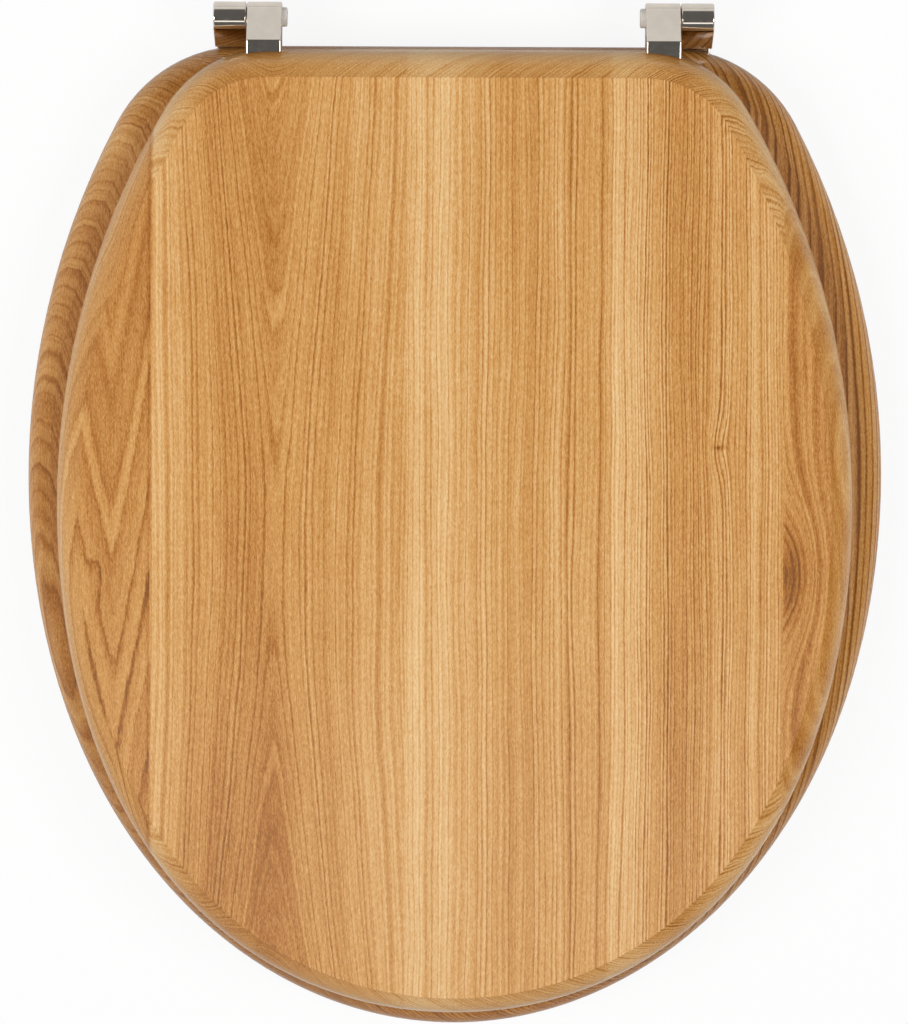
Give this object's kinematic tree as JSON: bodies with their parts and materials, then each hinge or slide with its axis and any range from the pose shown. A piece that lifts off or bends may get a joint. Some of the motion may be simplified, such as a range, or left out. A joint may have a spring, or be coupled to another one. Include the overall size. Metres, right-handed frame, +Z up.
{
  "type": "toilet seat",
  "caption": "Wooden toilet seat with an egg-shaped ring, a rounded lid set in from its edge, chrome hinges on plastic bushes, and rubber buffers.",
  "frame": {"origin": "middle of the whole length and width, on the plane that the seat's buffers stand on", "axes": "+Y to the hinges at the back, +Z up through the lid, +X to the right seen from the front"},
  "size_m": [0.3756, 0.4632, 0.055],
  "materials": {
    "lid_wood": "satin lacquer",
    "seat_wood": "satin lacquer",
    "chrome": "polished plate on cast zinc",
    "nylon": "moulded",
    "buffer_rubber": "moulded",
    "zinc_screw": "zinc plated"
  },
  "bodies": {
    "bushes": {"hinge_bush_left": "nylon", "hinge_bush_right": "nylon"},
    "seat": {"seat_ring": "seat_wood", "seat_hinge_left": "chrome", "seat_hinge_right": "chrome", "seat_hinge_screws_left": "zinc_screw", "seat_hinge_screws_right": "zinc_screw", "seat_buffer_front_left": "buffer_rubber", "seat_buffer_front_right": "buffer_rubber", "seat_buffer_rear_left": "buffer_rubber", "seat_buffer_rear_right": "buffer_rubber", "seat_buffer_screws": "zinc_screw"},
    "lid": {"lid": "lid_wood", "lid_hinge_left": "chrome", "lid_hinge_right": "chrome", "lid_hinge_screws_left": "zinc_screw", "lid_hinge_screws_right": "zinc_screw", "lid_buffer_left": "buffer_rubber", "lid_buffer_right": "buffer_rubber", "lid_buffer_screws": "zinc_screw"}
  },
  "joints": [
    {"name": "seat_lift", "type": "hinge", "parent": "bushes", "child": "seat", "pos_m": [0, 0.22515, 0.035], "axis": [-1, 0, 0], "range_deg": [0, 95]},
    {"name": "lid_lift", "type": "hinge", "parent": "seat", "child": "lid", "pos_m": [0, 0.22515, 0.035], "axis": [-1, 0, 0], "range_deg": [0, 105]}
  ]
}
